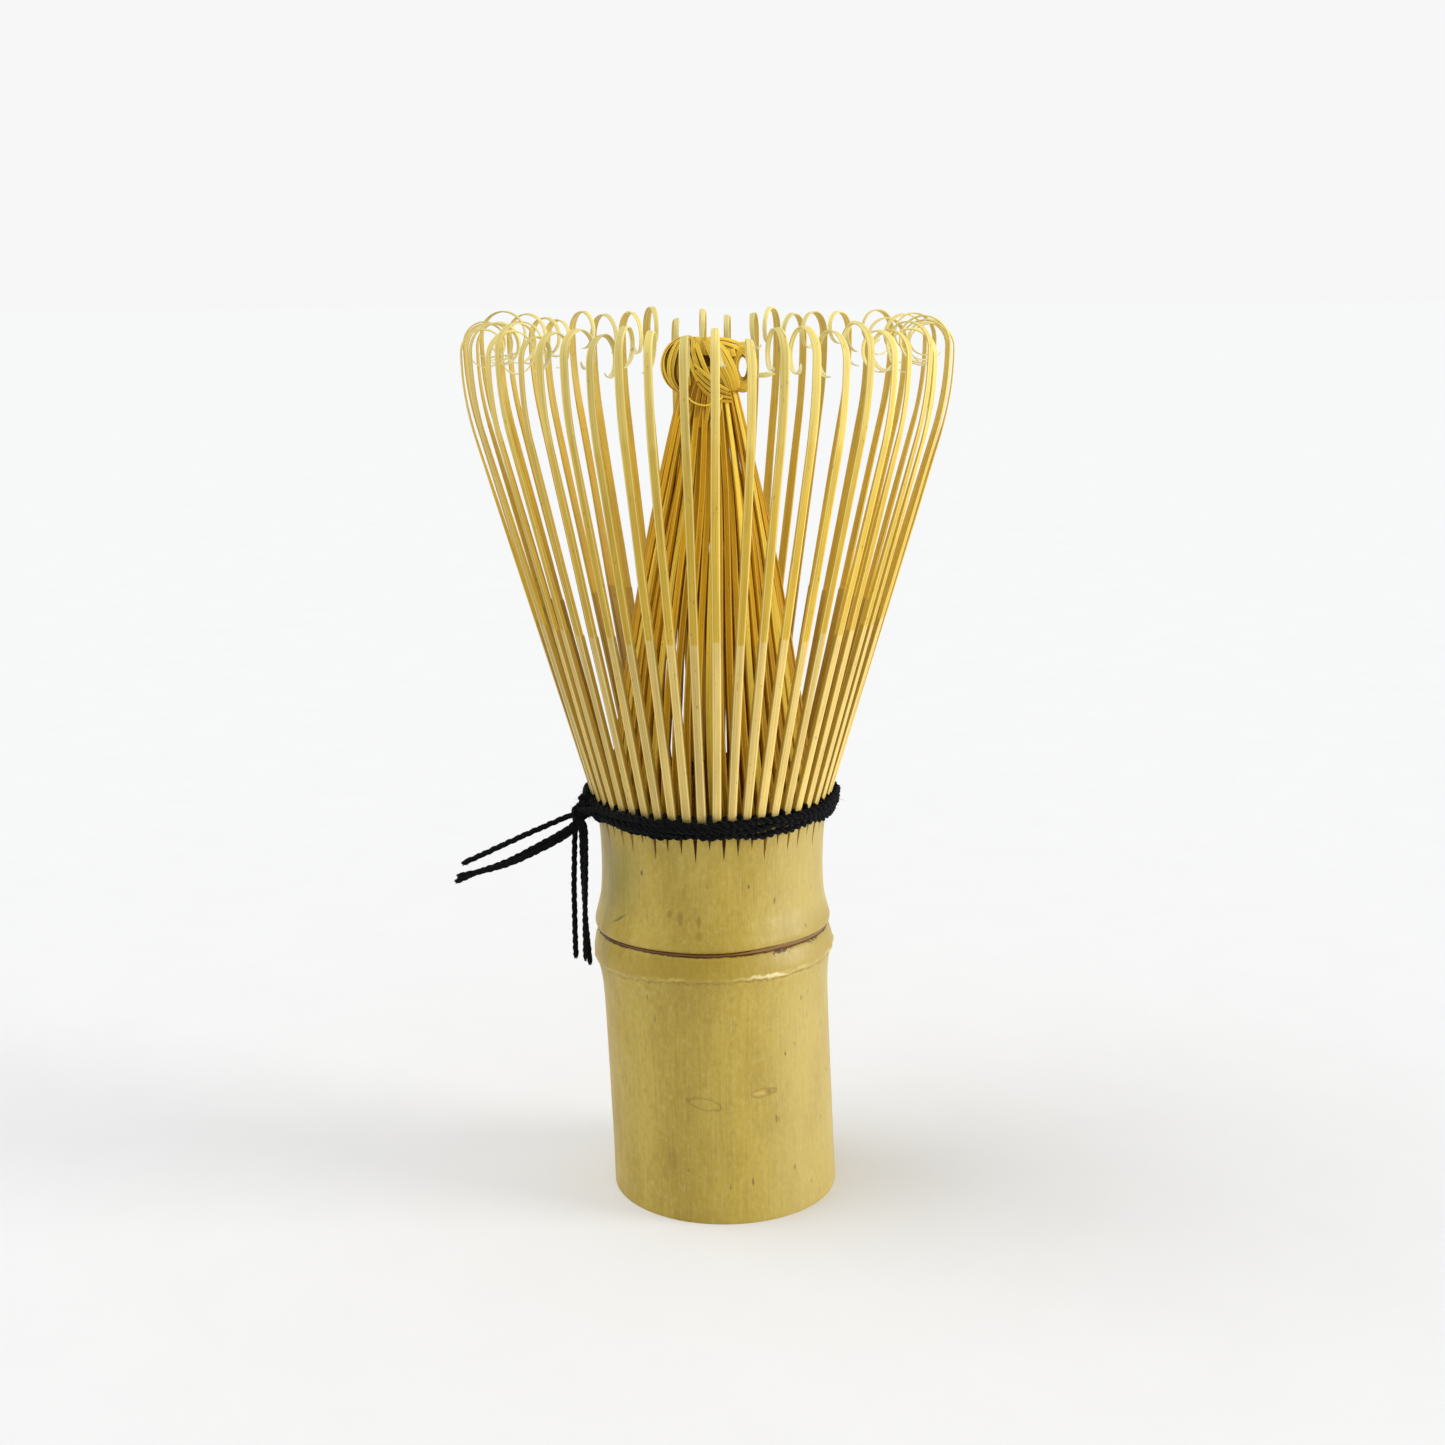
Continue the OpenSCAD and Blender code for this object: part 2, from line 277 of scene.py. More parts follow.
    # the groove: two thin dark lines, lighter brown between, and small ragged scars under it at one side
    below = g.plus(g.attribute("groove"), g.span(ragged, 0.3, 0.7, -0.05, 0.05))
    over = g.minus(below, g.attribute("gap"))
    inside = g.times(g.span(below, -0.1, 0.02), g.span(over, 0.1, -0.02))
    low_line = g.span(g.math("ABSOLUTE", below), 0.15, 0.05)
    high_line = g.span(g.math("ABSOLUTE", over), 0.13, 0.05)
    blotch = g.attribute("blotch")
    scars = g.plus(g.upright(at, 2.6, 3.4, 4, 0.7), g.times(blotch, 0.2))
    scars = g.plus(scars, g.times(below, 0.24))
    scars = g.times(g.span(scars, 0.54, 0.6), g.span(blotch, 0.1, 0.4))
    scars = g.times(scars, g.span(below, 0.15, 0.0))
    dark = g.math("MAXIMUM", g.math("MAXIMUM", low_line, high_line), scars)
    paint += [(g.times(inside, 0.85), (126, 80, 22)), (g.times(dark, 0.9), (78, 38, 0))]

    colour = g.mix(g.span(mottle, 0.32, 0.68), srgb(170, 143, 36), srgb(187, 161, 58))
    for mask, tint in paint:
        colour = g.mix(mask, colour, srgb(*tint))
    g.set("Base Color", colour)
    g.set("Roughness", g.span(patches, 0.3, 0.75, 0.42, 0.56))
    height = g.plus(g.times(fibres, 0.5), g.times(hair, 0.2))
    g.bump(g.minus(height, g.times(fleck, 0.5)), 0.00006)
    return g.material


def cut_material():
    """Cut and inner bamboo of the culm: pale, dull, fibre bundles as dots on the end and streaks inside."""
    g = Graph("culm_cut", Roughness=0.7)
    at = g.object_mm()
    streak = g.upright(at, 4.5, 0.12, 4)
    bundles = g.add("TexVoronoi", [("Vector", g.scaled(at, (2.2, 2.2, 0.05))), ("Scale", 1.0)])
    colour = g.mix(g.span(streak, 0.3, 0.7), srgb(172, 136, 66, 1.1), srgb(222, 190, 122, 1.1))
    colour = g.mix(g.span(bundles, 0.22, 0.12, 0.0, 0.55), colour, srgb(128, 88, 34))
    g.set("Base Color", colour)
    g.bump(g.plus(streak, bundles), 0.00008)
    return g.material


def thread_material():
    """Black cotton: matt, with a faint cool sheen and fibres that run round the thread."""
    g = Graph("black_cotton", Roughness=0.95, Sheen_Weight=0.05, Sheen_Roughness=0.5, Specular_IOR_Level=0.09)
    fibre = g.noise(g.object_mm(), scale=9.0, detail=4, rough=0.7, warp=0.6)
    black, lint = (0.0009, 0.001, 0.0012, 1), (0.008, 0.0098, 0.0104, 1)
    g.set("Base Color", g.mix(g.span(fibre, 0.45, 0.75), black, lint))
    g.bump(fibre, 0.0001)
    return g.material


tine_bamboo = strip_material("tine_bamboo", 0.13, 0.2, (0.98, 0.86, 0.36, 1))
inner_bamboo = strip_material("inner_bamboo", 0.2, 0.08, (0.98, 0.76, 0.14, 1))
culm_skin = skin_material()
culm_cut = cut_material()
black_cotton = thread_material()


# ---- mesh helpers ----


def piece(name, verts, faces, materials, body, node, slot, sharp, **attributes):
    """A mesh object from millimetre points, riding on body and standing for the CAD node.
    attributes: a number, a vector or a colour for each point."""
    mesh = bpy.data.meshes.new(name)
    mesh.from_pydata([tuple(c * MM for c in v) for v in verts], [], faces)
    for key, data in attributes.items():
        size = len(data[0]) if isinstance(data[0], tuple) else 1
        kind, field = {1: ("FLOAT", "value"), 3: ("FLOAT_VECTOR", "vector"),
                       4: ("FLOAT_COLOR", "color")}[size]
        flat = data if size == 1 else [c for v in data for c in v]
        mesh.attributes.new(key, kind, "POINT").data.foreach_set(field, flat)
    for material in materials:
        mesh.materials.append(material)
    mesh.polygons.foreach_set("use_smooth", [True] * len(mesh.polygons))
    mesh.set_sharp_from_angle(angle=radians(sharp))
    mesh.update()
    obj = show(name, mesh)
    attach(obj, body)
    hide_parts(node)
    return obj


class Sweeps:
    """Collects swept shapes into one mesh."""

    def __init__(self):
        self.verts, self.faces = [], []

    def sweep(self, rings, closed=False):
        """A skin over rings of equally many points, with end caps unless it is closed."""
        start, count, sides = len(self.verts), len(rings), len(rings[0])
        self.verts += [p for ring in rings for p in ring]
        for j in range(count if closed else count - 1):
            a, b = start + j * sides, start + (j + 1) % count * sides
            self.faces += [(a + k, a + (k + 1) % sides, b + (k + 1) % sides, b + k) for k in range(sides)]
        if not closed:
            end = len(self.verts)
            self.faces += [tuple(range(start + sides - 1, start - 1, -1)), tuple(range(end - sides, end))]


def catmull(points, per_span):
    """A smooth line through points of any dimension."""
    out = []
    last = len(points) - 1
    for k in range(last):
        p0, p1, p2, p3 = (points[max(0, min(last, k + d))] for d in (-1, 0, 1, 2))
        for j in range(per_span):
            t = j / per_span
            out.append([
                0.5 * (2 * b + (c - a) * t + (2 * a - 5 * b + 4 * c - d) * t * t
                       + (3 * b - a - 3 * c + d) * t * t * t)
                for a, b, c, d in zip(p0, p1, p2, p3)
            ])
    out.append(list(points[last]))
    return out


def even_line(points, step):
    """The line resampled to equal steps."""
    points, lengths = [Vector(p) for p in points], [0.0]
    for a, b in zip(points, points[1:]):
        lengths.append(lengths[-1] + (b - a).length)
    count = max(2, round(lengths[-1] / step))
    out, k = [], 0
    for j in range(count + 1):
        want = lengths[-1] * j / count
        while k < len(points) - 2 and lengths[k + 1] < want:
            k += 1
        span = lengths[k + 1] - lengths[k]
        out.append(points[k].lerp(points[k + 1], (want - lengths[k]) / span if span else 0))
    return out


def directions(line, closed=False):
    """The way the line runs at each of its points."""
    last = len(line) - 1
    if closed:
        return [(line[(k + 1) % (last + 1)] - line[k - 1]).normalized() for k in range(last + 1)]
    return [(line[min(k + 1, last)] - line[max(k - 1, 0)]).normalized() for k in range(last + 1)]


class Strips(Sweeps):
    """Collects flat bamboo strips into one mesh with grain, rim (where the painted highlight goes) and tone
    for the strip material.
    """

    def __init__(self):
        super().__init__()
        self.grain, self.rim, self.tone = [], [], []

    def add(self, stations, seed):
        """stations: (middle, side, normal, width, thickness, colour of face, colour of sides and back)."""
        rings, travelled, before = [], 0.0, None
        for middle, side, normal, width, thick, colour, flank in stations:
            travelled += (middle - before).length if before else 0.0
            before = middle
            c = min(0.11, 0.2 * thick, 0.3 * width)
            h, w = thick / 2, width / 2
            crown = 0.05 * width
            section = [(-w + c, h), (-w * 0.4, h + crown * 0.5), (w * 0.4, h + crown * 0.5), (w - c, h),
                       (w, h - c), (w, c - h), (w - c, -h), (c - w, -h), (-w, c - h), (-w, h - c)]
            rings.append([middle + side * u + normal * v for u, v in section])
            for k, (u, v) in enumerate(section):
                self.grain.append((u + (0.7 if v < 0 else 0.0), travelled, seed * 3.7))
                # painted highlight: 1 at the edges of the top face, 0.4 inside them, 0 on the sides and back
                self.rim.append((1.0, 0.4, 0.4, 1.0)[k] if k < 4 else 0.0)
                self.tone.append(colour if k < 4 else flank)
        self.sweep(rings)

    def make(self, name, material, body, node, slot):
        piece(name, self.verts, self.faces, [material], body, node, slot, 40,
              rim=self.rim, grain=self.grain, tone=self.tone)


def ribbon(points, facing, width, thick, colour, flank=(0.30, 0.13, 0.004, 1)):
    """Stations of a strip along points. facing(p) is the way its flat side looks at p,
    and width and colour are functions of the share along it."""
    line = even_line(points, 0.35)
    stations = []
    for k, (p, t) in enumerate(zip(line, directions(line))):
        share = k / (len(line) - 1)
        normal = facing(p)
        normal = (normal - t * normal.dot(t)).normalized()
        stations.append((p, t.cross(normal), normal, width(share), thick, colour(share), flank))
    return stations


# ---- thread ----

THREAD_KNOT = Vector((-15.4, -5.8, 51.0))
ROUTES = {
    "tail_upper": [(-16.4, -6.4, 50.8), (-18.6, -6.8, 50), (-21, -7, 48.9), (-23.5, -7.1, 47.8),
                   (-26, -7, 46.7), (-28.3, -6.8, 45.5), (-30.4, -6.6, 44.4)],
    "tail_pair": [(-16.3, -6.9, 49.6), (-17.9, -7.2, 48.4), (-20.1, -7.4, 47.1), (-22.7, -7.5, 45.8),
                  (-25.5, -7.4, 44.6), (-28.5, -7.2, 43.5), (-31.5, -7, 42.6)],
    "tail_down": [(-16.6, -5, 49.6), (-16.8, -5.2, 47), (-16.9, -5.4, 44), (-17, -5.5, 41),
                  (-17, -5.6, 38), (-17, -5.6, 35), (-16.95, -5.6, 32.1)],
    "tail_down_pair": [(-15.6, -7.2, 49.2), (-15.5, -7.5, 46.5), (-15.5, -7.7, 43.5), (-15.5, -7.8, 40.5),
                       (-15.5, -7.8, 37.5), (-15.4, -7.7, 34.5), (-15.35, -7.6, 31.8)],
}


def band_point(angle, height, out=0.0):
    """A point on the outside of the laced roots, which flare upwards, at an angle in degrees."""
    r = 14.93 + 0.27 * (height - 50.35) + out
    return level(radians(angle), r, height)


class Threads(Sweeps):
    """Collects twisted threads and loose fibres into one mesh."""

    def __init__(self, seed):
        super().__init__()
        self.random = random.Random(seed)

    def strand(self, line, ply_r, offset, twist, phase, closed):
        """One ply that winds round line. twist is its turns per millimetre."""
        ways, sides = directions(line, closed), 7
        u = ways[0].cross(Vector((0.31, 0.2, 1))).normalized()
        rings, travelled = [], 0.0
        for k, (p, t) in enumerate(zip(line, ways)):
            if k:
                travelled += (p - line[k - 1]).length
            u = (u - t * u.dot(t)).normalized()
            v = t.cross(u)
            turn = phase + TAU * twist * travelled
            middle = p + (u * cos(turn) + v * sin(turn)) * offset
            share = k / (len(line) - 1)
            r = ply_r * (1 + 0.1 * sin(travelled * 5.3 + phase) + 0.07 * sin(travelled * 13.7 + 2 * phase))
            if not closed:
                r *= 1 - 0.55 * ease(share, 0.985, 1.0)
            rings.append([middle + (u * cos(TAU * j / sides) + v * sin(TAU * j / sides)) * r
                          for j in range(sides)])
        self.sweep(rings, closed)

    def twisted(self, points, diameter, pitch, plies=2, step=0.2, closed=False, phase=0.0):
        """A thread of plies along points, with one turn in about pitch millimetres."""
        line = even_line(points, step)
        if closed:
            line = line[:-1]
        length = sum((b - a).length for a, b in zip(line, line[1:] + (line[:1] if closed else [])))
        turns = max(1, round(length / pitch))
        for ply in range(plies):
            self.strand(line, diameter * 0.32, diameter * 0.24, turns / length,
                        phase + TAU * ply / plies, closed)
        return line

    def fuzz(self, line, diameter, count, longest=0.7):
        """Loose fibres, three-sided and tapered."""
        pick = self.random
        for _ in range(count):
            at = pick.randrange(1, len(line) - 1)
            along = (line[at + 1] - line[at - 1]).normalized()
            out = Vector([pick.gauss(0, 1) for _ in range(3)])
            out = (out - along * out.dot(along)).normalized()
            bend = Vector([pick.gauss(0, 1) for _ in range(3)]) * 0.35
            reach = longest * (0.35 + 0.65 * pick.random())
            rings = []
            for j in range(5):
                s = j / 4
                middle = (line[at] + out * (diameter * 0.4 + reach * s) + along * reach * 0.5 * s
                          + bend * s * s * reach)
                r = 0.014 * (1 - 0.7 * s)
                rings.append([middle + (along * cos(a) + out.cross(along) * sin(a)) * r
                              for a in (0, 2.094, 4.189)])
            self.sweep(rings)

    def make(self, name, node):
        return piece(name, self.verts, self.faces, [black_cotton], "root", node, "thread", 80)


def tail(name, band_angles, band_height, diameter, split, seed):
    """One length of thread: along the band, through the thread knot, and out to its loose end.
    split sets two thinner threads side by side, parting at the end by that many millimetres."""
    points = [band_point(a, band_height, 0.42) for a in band_angles]
    points += [THREAD_KNOT + Vector((-0.9, -0.5, 0.1))] + [Vector(p) for p in ROUTES[name]]
    line = even_line(catmull(points, 8), 0.18)
    threads = Threads(seed)
    wander = [p + Vector((0, sin(k * 0.11 + seed), cos(k * 0.13 + seed))) * 0.06 for k, p in enumerate(line)]
    strands = [(wander, diameter, 3.2, seed, 90)]
    if split:
        strands = []
        for side in (-1, 1):
            strand = []
            for k, (p, t) in enumerate(zip(wander, directions(wander))):
                share = k / (len(wander) - 1)
                turn = 5.5 * share
                u = t.cross(Vector((0.2, 1, 0.1))).normalized()
                v = t.cross(u)
                gap = 0.26 * diameter + split * ease(share, 0.88, 1.0) * (0.5 if side < 0 else 0.8)
                strand.append(p + (u * cos(turn) + v * sin(turn)) * gap * side)
            if side < 0:
                strand = strand[:-4]
            strands.append((strand, 0.6 * diameter, 3.0, side + seed, 60))
    for strand, thick, pitch, phase, fibres in strands:
        threads.twisted(strand, thick, pitch, plies=3, phase=phase)
        threads.fuzz(strand, thick, fibres, 0.45)
        frayed_end(threads, strand[-3], strand[-1], thick)
    obj = threads.make("thread_" + name, name)


def frayed_end(threads, before, end, diameter):
    """A tuft where the thread was cut."""
    way = (end - before).normalized()
    side = way.cross(UP).normalized()
    for k in range(16):
        angle = k * 2.4
        out = side * cos(angle) + side.cross(way) * sin(angle)
        reach = 0.14 + 0.08 * (k % 3)
        line = [end + way * s * reach + out * diameter * (0.1 + 0.07 * (k % 4) + 0.04 * s * s)
                for s in (-2, 0, 0.5, 1)]
        rings = []
        for j, p in enumerate(line):
            r = 0.075 * (1 - 0.2 * j)
            rings.append([p + (side * cos(a) + side.cross(way) * sin(a)) * r
                          for a in (0, 1.57, 3.14, 4.71)])
        threads.sweep(rings)


tail("tail_upper", (262, 250, 238, 226, 214), 51.7, 0.68, 0, 1.0)
tail("tail_pair", (146, 158, 170, 182, 192), 51.3, 1.15, 0.5, 2.0)
tail("tail_down", (150, 162, 174, 185, 194), 50.6, 0.66, 0, 3.0)
tail("tail_down_pair", (256, 244, 232, 220, 210), 50.7, 1.0, 0.1, 4.0)


# ---- tines ----

COUNT = 52
PITCH = 360 / COUNT
PIVOT_R, PIVOT_Z, FOOT = 14.36, 51.2, 0.75
STRAIGHT, BEND_R, CURL_R, CURL_TURN, CURL_TIGHTEN = 48.3, 35.0, 3.0, 300.0, 0.6
TINE_W, ROOT_T, STEP_T, THIN_T, BEND_T, TIP_T = 1.1, 0.75, 0.6, 0.48, 0.34, 0.16
STEP_SHARE, CURL_T = 0.52, BEND_T - 0.08

PALE_LOW = (0.69, 0.495, 0.145, 1)
FLANK_LOW = (0.42, 0.25, 0.02, 1)
GOLD = (0.62, 0.405, 0.044, 1)
GOLD_DEEP = (0.57, 0.35, 0.026, 1)
GOLD_PALE = (0.69, 0.50, 0.105, 1)
# the curls and tips are paler: partly the thin bamboo's own colour, partly painted light that stands in for
# light shining through the thin strips
CURL_PALE = (0.78, 0.68, 0.25, 1)
FLANK = (0.60, 0.38, 0.035, 1)
TIP_PALE = (0.86, 0.82, 0.5, 1)


def uneven(i, use):
    """A number from -1 to 1 for tine i, another one for each use."""
    return sin(radians(i * (97.3 + 41.7 * use) + 59 * use))


def azimuth(i):
    return radians((i - 0.5) * PITCH)


def along(a):
    """In the plane of radius and height, the way of a line that leans out by a."""
    return Vector((sin(a), cos(a)))


def across(a):
    """The way out of that line, at right angles to it."""
    return Vector((cos(a), -sin(a)))


def tine_line(i):
    """Middle line of an outer tine, as in the CAD but finer.
    Each point has (radius and height, heading, thickness, zone, share of zone)."""
    lean = radians(16 + 0.45 * uneven(i, 2))
    reach = STRAIGHT + 0.6 * uneven(i, 3)
    foot = Vector((PIVOT_R, PIVOT_Z)) - FOOT * along(lean)
    cut = STEP_SHARE * reach
    line = []

    def put(point, heading, thick, zone, share):
        keep = (ROOT_T - thick) / 2 if zone == "straight" else (ROOT_T - BEND_T) / 2
        line.append((point + keep * across(heading), heading, thick, zone, share))

    for s in [k * cut / 7 for k in range(7)] + [cut - 0.05]:
        put(foot + s * along(lean), lean, ROOT_T + (STEP_T - ROOT_T) * s / cut, "straight", s / reach)
    for k in range(9):
        s = cut + 0.25 + (reach - cut - 0.25) * k / 8
        put(foot + s * along(lean), lean, THIN_T + (BEND_T - THIN_T) * k / 8, "straight", s / reach)
    centre = foot + reach * along(lean) - BEND_R * across(lean)
    for k in range(1, 9):
        heading = lean * (1 - k / 8)
        point = centre + BEND_R * across(heading)
        put(point, heading, BEND_T - (BEND_T - CURL_T) * k / 8, "bend", k / 8)
    turn = radians(CURL_TURN * (1 + 0.12 * uneven(i, 4)))
    start_r = CURL_R * (1 + 0.1 * uneven(i, 5))
    end_r = start_r * (0.57 + 0.07 * uneven(i, 6))
    steps, heading = 44, 0.0
    for k in range(steps):
        r = start_r + (end_r - start_r) * ((k + 0.5) / steps) ** CURL_TIGHTEN
        half = turn / steps / 2
        point = point + 2 * r * sin(half) * along(heading - half)
        heading -= 2 * half
        put(point, heading, CURL_T + (TIP_T - CURL_T) * k / steps, "curl", (k + 1) / steps)
    return line


def outer_tine(i):
    radial = level(azimuth(i))
    tangent = Vector((-radial.y, radial.x, 0))
    lean = radians(0.45 * uneven(i, 7))
    drift = 1.25 * uneven(i, 8)
    twist = radians((9 + 15 * abs(sin(azimuth(i)))) * uneven(i, 9))
    bow = 0.28 * uneven(i, 10)
    deep = 0.5 + 0.5 * uneven(i, 11)
    # tone that differs at random from tine to tine, plus painted light: tines towards +X, the key light's
    # side, lighter and tines towards -X darker
    gain = 1 + 0.07 * uneven(i, 12) + 0.07 * cos(azimuth(i)) - 0.02
    stations = []
    for point, heading, thick, zone, share in tine_line(i):
        height = point.y - PIVOT_Z
        rise = ease(height, 4, 58)
        curled = share if zone == "curl" else 0.0
        side_shift = -height * sin(lean) + (bow * rise * sin(2.6 * rise) + drift * curled ** 1.6)
        middle = radial * point.x + tangent * side_shift + UP * (PIVOT_Z + height * cos(lean))
        way = radial * sin(heading) + UP * cos(heading)
        normal = radial * cos(heading) - UP * sin(heading)
        spin = Quaternion(way, twist * (0.35 * rise * (zone != "straight") + 0.65 * curled))
        width = TINE_W * (1 + 0.035 * sin(height * 0.31 + i)) * (1 - 0.1 * rise)
        width *= 1 - 0.42 * ease(curled, 0.0, 0.6)
        if curled > 0.8:
            width *= 1 - 0.75 * ((curled - 0.8) / 0.2) ** 2
        thick *= 1 - 0.34 * ease(height, 34, 50)
        if zone == "straight":
            foot = share < STEP_SHARE
            colour = PALE_LOW if foot else blend(GOLD, GOLD_DEEP, deep * (1.1 - share))
            colour = blend(colour, GOLD_PALE, ease(share, 0.8, 1.0) * 0.5)
            base, kept = (FLANK_LOW, 0.1) if foot else (FLANK, 0.3)
        elif zone == "bend":
            colour = blend(GOLD_PALE, CURL_PALE, 0.35 * share)
            base, kept = FLANK, 0.5 + 0.2 * share
        else:
            # paler towards the tip: partly the thin bamboo's own colour, partly painted light shining through
            # it
            colour = blend(GOLD_PALE, CURL_PALE, 0.35 + 1.3 * share)
            colour = blend(colour, TIP_PALE, ease(curled, 0.55, 1.0))
            base, kept = FLANK, 0.92
        # painted shade: the low parts of the tines towards -X, away from the key light, darker
        shade = gain - 0.1 * max(0.0, -cos(azimuth(i))) * (1 - ease(height, 18, 40))
        colour = (*[min(1.0, c * shade) for c in colour[:3]], 1.0)
        flank = blend(base, colour, kept)
        stations.append((middle, spin @ tangent, spin @ normal, width, thick, colour, flank))
    strips = Strips()
    strips.add(stations, i)
    strips.make(f"tine_{i:02d}_strip", tine_bamboo, f"tine_{i:02d}", f"outer_tine_{i:02d}", "tine_bamboo")


for i in range(1, COUNT + 1):
    outer_tine(i)

INNER_ROOT_R, NECK_R, LEDGE_Z, KNOT_Z = 13.2, 3.7, 47.6, 100.4
AMBER = (0.74, 0.405, 0.012, 1)
INNER_FLANK = (0.50, 0.235, 0.004, 1)
AMBER_DARK = (0.38, 0.165, 0.002, 1)
AMBER_PALE = (0.86, 0.60, 0.065, 1)


def inner_tines():
    strips = Strips()
    lean_in, tall = INNER_ROOT_R - NECK_R, KNOT_Z - LEDGE_Z
    for i in range(1, COUNT + 1):
        stations = []
        shade = 0.5 + 0.5 * uneven(i, 13)
        colour = blend(AMBER_DARK, AMBER, 0.35 + 0.65 * shade)
        if shade > 0.8:
            colour = AMBER_PALE
        for k in range(27):
            s = k / 25
            r = INNER_ROOT_R - lean_in * (0.58 * s + 0.42 * s * s)
            r -= (i % 2) * 0.62 * max(0.0, (s - 0.4) / 0.6)
            r += 0.16 * uneven(i, 14) * sin(PI * s) * sin(5 * s + i)
            a = azimuth(i) + (0.07 * uneven(i, 15) * sin(PI * min(1, s * 1.25)) + 0.1 * s * s)
            thick = 0.75 + (0.28 - 0.75) * s
            width = (1 - 0.32 * s) * (1 + 0.04 * sin(9 * s + i))
            radial = level(a)
            slope = math.atan2(lean_in * (0.58 + 0.84 * s), tall)
            normal = radial * cos(slope) + UP * sin(slope)
            side = Vector((-radial.y, radial.x, 0))
            spin = Quaternion(normal.cross(side), 0.5 * uneven(i, 16) * s)
            middle = radial * (r - thick / 2) + UP * (LEDGE_Z + tall * s)
            # painted shade: each tine darker towards its root, down inside the ring of outer tines
            tint = (*[c * (1 - 0.3 * (1 - s) ** 2) for c in colour[:3]], 1.0)
            stations.append((middle, spin @ side, spin @ normal, width, thick, tint,
                             blend(INNER_FLANK, tint, 0.2)))
        strips.add(stations, i + COUNT + 8)
    strips.make("inner_tine_bundle", inner_bamboo, "root", "inner_tines", "inner_bamboo")


inner_tines()


# ---- the knot of the inner tines ----


def knot():
    strips = Strips()
    pick = random.Random(7)
    middle, size = Vector((0.75, -0.1, 104.1)), Vector((4.5, 3.95, 3.6))

    def strip(points, facing, width, thick, bright, seed):
        """A strip whose colour is picked between two shares of dark to pale, with narrower ends."""
        base = blend(AMBER_DARK, AMBER_PALE, pick.uniform(*bright))
        strips.add(ribbon(points, facing, width, thick,
                          lambda share: blend(base, AMBER, 0.3 * abs(2 * share - 1))), seed)

    def ball(centre, radii, longitudes, width, bright):
        """Strips over an ellipsoid from its top to its bottom, one at each longitude in degrees."""
        centre = Vector(centre)
        for k, longitude in enumerate(longitudes):
            wobble, lift = pick.uniform(-0.1, 0.1), 1 + 0.035 * (k % 2)
            points = []
            for j in range(15):
                latitude = radians(84 - 168 * j / 14)
                a = radians(longitude) + wobble * sin(3 * latitude)
                points.append(centre + Vector((cos(latitude) * cos(a) * radii[0],
                                               cos(latitude) * sin(a) * radii[1],
                                               sin(latitude) * radii[2])) * lift)
            strip(points, lambda p: p - centre, lambda s: width * (0.62 + 0.38 * sin(PI * s)), 0.2,
                  bright, 200 + k)

    def draped(path, lift, width, bright, side=-1):
        """A strip that lies over the front (or back) of the knot along (x, z) points."""
        points = []
        for x, z in catmull(path, 6):
            inside = 1 - ((x - middle.x) / size.x) ** 2 - ((z - middle.z) / size.z) ** 2
            deep = size.y * math.sqrt(max(0.02, inside))
            stem = NECK_R + 0.1 + 0.1 * max(0.0, KNOT_Z - z) - 0.3 * max(0.0, z - KNOT_Z)
            if stem > abs(x):
                deep = max(deep, math.sqrt(stem ** 2 - x ** 2))
            points.append(Vector((x, side * (deep + lift) + middle.y, z)))
        strip(points, lambda p: Vector((p.x * 0.5, side * 4.0, (p.z - middle.z) * 0.7)),
              lambda s: width * (0.75 + 0.25 * sin(PI * s)), 0.2, bright, 400 + 10 * path[0][0])

    # dark strips deep inside, painted shade that shows in the gaps between the strips over them, then the
    # bun: strips that fan from its top round the side and tuck under
    ball((0.0, 0.2, 103.8), (2.9, 2.6, 2.6), range(0, 360, 24), 1.15, (-0.6, -0.4))
    ball((-2.1, 0.0, 104.2), (2.9, 3.1, 2.9), range(80, 290, 19), 1.0, (-0.5, -0.1))
    fan = [92 + 14.6 * k + 3.5 * sin(3 * k) for k in range(14)]
    ball((-2.2, -0.1, 104.3), (3.3, 3.55, 3.3), fan, 0.62, (0.45, 1.0))
    ball((0.7, 0.3, 104.1), (2.75, 3.2, 3.05), range(-78, 84, 15), 0.74, (0.15, 0.8))

    # the loop at the other side, with its open middle
    turns = [radians(190 - 350 * j / 28) for j in range(29)]

    def ring(wide, tall, deep):
        return [Vector((4.15 + wide * cos(a), deep + 0.3 * cos(a), 104.1 + tall * sin(a))) for a in turns]

    core = ring(1.1, 2.1, -1.2)
    for k in range(7):
        a = radians(-35 + 38 * k)
        strip(ring(1.1 - 0.47 * cos(a), 2.1 - 0.8 * cos(a), -1.2 - 0.85 * sin(a)),
              lambda p: p - min(core, key=lambda c: (c - p).length_squared),
              lambda s: 0.56, 0.17, (0.35, 1.0), 300 + k)
    for k in range(2):
        draped([(0.2, 107.5 - 0.4 * k), (2.2, 107.35 - 0.45 * k), (4.0 - 0.15 * k, 106.6 - 0.45 * k),
                (5.3 - 0.42 * k, 105.0), (5.6 - 0.45 * k, 103.4), (5.0 - 0.35 * k, 102.0 + 0.15 * k),
                (3.9, 101.3 + 0.2 * k)], 0.15, 0.5, (0.6, 1.0))

    # over the top from front to back
    for k in range(7):
        arch = [Vector((-1.3 + 0.62 * k + 0.7 * cos(a), -3.35 * cos(a), 104.5 + (3.05 - 0.09 * k) * sin(a)))
                for a in (radians(22 + 136 * j / 12) for j in range(13))]
        strip(arch, lambda p: p - Vector((p.x, 0, 103.5)), lambda s: 0.6, 0.18, (0.3, 0.95), 350 + k)

